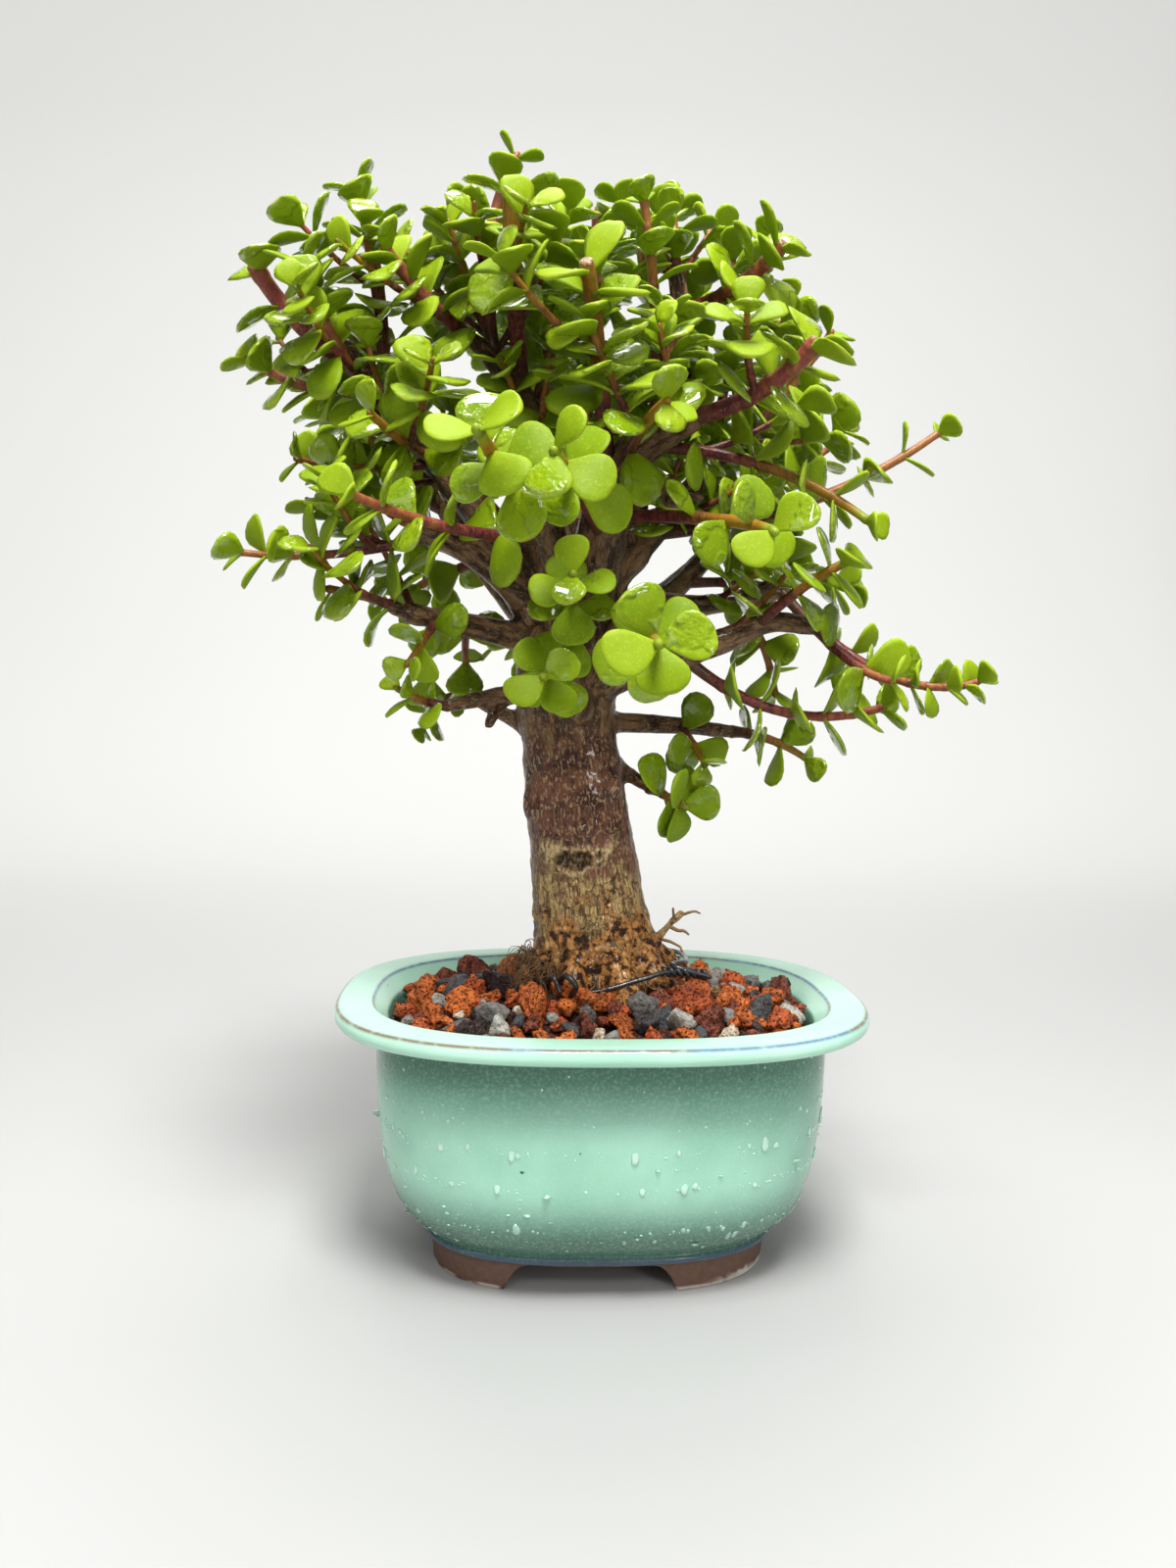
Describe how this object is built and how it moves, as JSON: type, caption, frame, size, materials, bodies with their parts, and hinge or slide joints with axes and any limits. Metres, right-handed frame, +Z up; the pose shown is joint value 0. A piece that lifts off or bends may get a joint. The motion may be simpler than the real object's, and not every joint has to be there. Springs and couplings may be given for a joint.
{
  "type": "potted bonsai tree",
  "caption": "Dwarf jade bonsai: leaning trunk, spreading limbs and round fleshy leaves, standing in lava grit in a celadon oval pot on cut feet.",
  "frame": {"origin": "the middle of the pot's footprint, on the surface it stands on", "axes": "+Z up, +X along the pot's long side, +Y to the back; the front, with the open view of the trunk, faces -Y"},
  "size_m": [0.2224, 0.2146, 0.3353],
  "materials": {
    "glaze": "glossy celadon glaze, paler on the rim, blue-brown where it breaks over edges; feet bare grey-brown clay",
    "lava_grit": "matt porous lava, brick red mixed with black, grey and cream stones",
    "bark": "wet red-brown to purple-brown bark, ochre and flaking near the soil, grey where cut",
    "leaf": "smooth waxy yellow-green fleshy leaves on orange to maroon stems, wet in places",
    "black_wire": "black coated tie wire",
    "black_plastic": "plain black drainage net"
  },
  "bodies": {
    "root": {"pot": "glaze", "drain_net_left": "black_plastic", "drain_net_right": "black_plastic", "grit": "lava_grit", "trunk": "bark", "tie_wire": "black_wire", "shoot_01": "leaf", "shoot_02": "leaf", "shoot_03": "leaf", "shoot_04": "leaf", "shoot_05": "leaf", "shoot_06": "leaf", "shoot_07": "leaf", "shoot_08": "leaf", "shoot_09": "leaf", "shoot_10": "leaf", "shoot_11": "leaf", "shoot_12": "leaf", "shoot_13": "leaf", "shoot_14": "leaf", "shoot_15": "leaf", "shoot_16": "leaf", "shoot_17": "leaf", "shoot_18": "leaf", "shoot_19": "leaf", "shoot_20": "leaf", "shoot_21": "leaf", "shoot_22": "leaf", "shoot_23": "leaf", "shoot_24": "leaf", "shoot_25": "leaf", "shoot_26": "leaf", "shoot_27": "leaf", "shoot_28": "leaf", "shoot_29": "leaf", "shoot_30": "leaf", "shoot_31": "leaf", "shoot_32": "leaf", "shoot_33": "leaf", "shoot_34": "leaf", "shoot_35": "leaf", "shoot_36": "leaf", "shoot_37": "leaf", "shoot_38": "leaf", "shoot_39": "leaf", "shoot_40": "leaf", "shoot_41": "leaf", "shoot_42": "leaf", "shoot_43": "leaf", "shoot_44": "leaf", "shoot_45": "leaf", "shoot_46": "leaf", "shoot_47": "leaf", "shoot_48": "leaf", "shoot_49": "leaf", "shoot_50": "leaf", "shoot_51": "leaf", "shoot_52": "leaf", "shoot_53": "leaf", "shoot_54": "leaf"}
  },
  "joints": []
}
